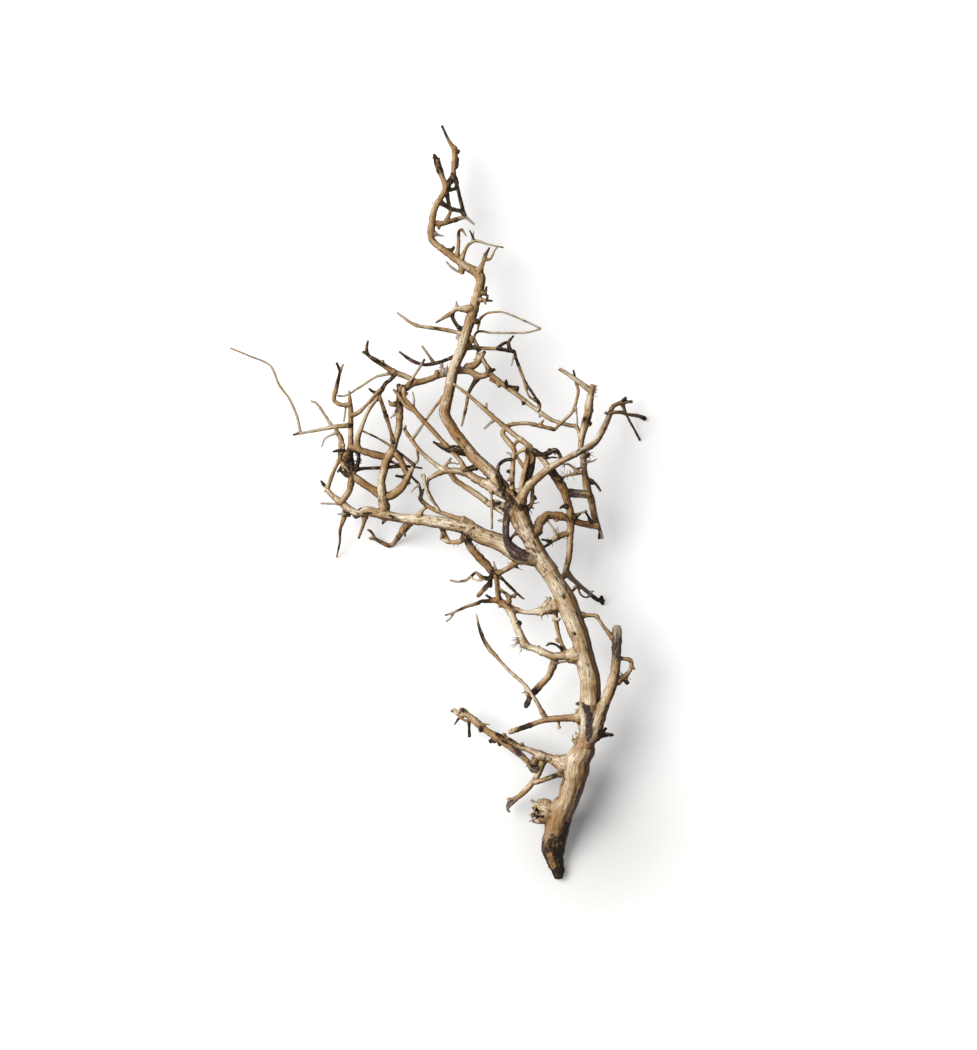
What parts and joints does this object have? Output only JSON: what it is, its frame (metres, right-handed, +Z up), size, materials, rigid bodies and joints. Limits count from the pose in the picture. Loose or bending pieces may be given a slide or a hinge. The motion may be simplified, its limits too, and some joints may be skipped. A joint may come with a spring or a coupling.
{
  "type": "tree branch",
  "caption": "Bare, weathered tree branch lying flat, with a bent trunk, a broken prong and a crown of long forked limbs and fine twigs.",
  "frame": {"origin": "middle of the branch's bounding box in plan, at the surface it lies on", "axes": "+Y along the branch, from its butt towards the tip of its leader; +Z up, away from the surface it lies on; +X to the right, seen from above with +Y ahead"},
  "size_m": [0.4165, 0.7535, 0.0968],
  "materials": {
    "peeled_wood": "matt, peeled and sun-bleached, with fine grain",
    "brown_wood": "matt, brown weathered wood with bark scraps",
    "dark_bark": "matt, purple-black bark"
  },
  "bodies": {
    "root": {"trunk_base": "peeled_wood", "prong": "peeled_wood", "low_limb": "brown_wood", "trunk_middle": "peeled_wood", "whip_limb": "brown_wood", "side_limb": "brown_wood", "crown": "peeled_wood", "left_limb": "peeled_wood", "left_end": "brown_wood", "spray": "dark_bark", "limb_b": "brown_wood", "left_post": "brown_wood", "slanted": "peeled_wood", "tan_limb": "peeled_wood", "leader_low": "peeled_wood", "leader_mid": "brown_wood", "leader_top": "brown_wood", "arch": "brown_wood", "right_arm": "peeled_wood", "dark_arm": "dark_bark", "uprights": "peeled_wood", "hook_twig": "dark_bark", "right_limb": "peeled_wood", "right_post": "peeled_wood", "second_limb": "brown_wood"}
  },
  "joints": []
}
